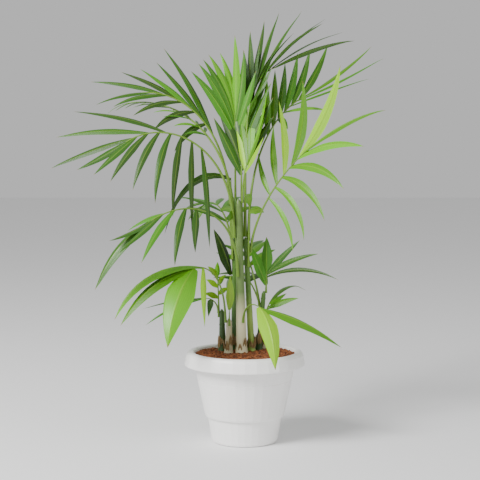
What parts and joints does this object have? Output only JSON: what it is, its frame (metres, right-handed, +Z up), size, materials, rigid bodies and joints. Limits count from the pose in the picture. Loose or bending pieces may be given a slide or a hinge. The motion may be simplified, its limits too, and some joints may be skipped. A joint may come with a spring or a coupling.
{
  "type": "potted areca palm",
  "caption": "Young areca palm in a plain white skirted nursery pot: a clump of slim canes with arching green fronds of narrow leaflets over reddish-brown potting soil.",
  "frame": {"origin": "middle of the pot's flat underside", "axes": "+X to the right as seen from the front, +Y from the front to the back, +Z up from the pot's underside to the crown"},
  "size_m": [0.431, 0.3066, 0.5655],
  "materials": {
    "pot": "satin",
    "soil": "matte",
    "cane": "satin",
    "stalk": "satin",
    "foliage": "satin"
  },
  "bodies": {
    "root": {"cane_back": "cane", "cane_main": "cane", "cane_right": "cane", "frond_back_left": "foliage", "frond_back_low": "foliage", "frond_back_right": "foliage", "frond_curl_left": "foliage", "frond_curl_right": "foliage", "frond_front_broad": "foliage", "frond_left_arch": "foliage", "frond_left_broad": "foliage", "frond_left_crest": "foliage", "frond_left_far": "foliage", "frond_left_low": "foliage", "frond_left_mid": "foliage", "frond_left_strap": "foliage", "frond_left_tuft": "foliage", "frond_paddle": "foliage", "frond_right_arch": "foliage", "frond_right_crest": "foliage", "frond_right_far": "foliage", "frond_right_low": "foliage", "frond_right_mid": "foliage", "frond_spear": "foliage", "frond_top_core": "foliage", "frond_top_fan": "foliage", "frond_top_inner": "foliage", "pot": "pot", "shoot_far": "cane", "shoot_left": "cane", "shoot_pale": "cane", "shoot_right": "cane", "soil": "soil", "stalk_back_left": "stalk", "stalk_curl_right": "stalk", "stalk_left_arch": "stalk", "stalk_left_broad": "stalk", "stalk_left_crest": "stalk", "stalk_left_far": "stalk", "stalk_left_mid": "stalk", "stalk_left_strap": "stalk", "stalk_right_arch": "stalk", "stalk_right_crest": "stalk", "stalk_right_far": "stalk", "stalk_top_core": "stalk", "stalk_top_fan": "stalk"}
  },
  "joints": []
}
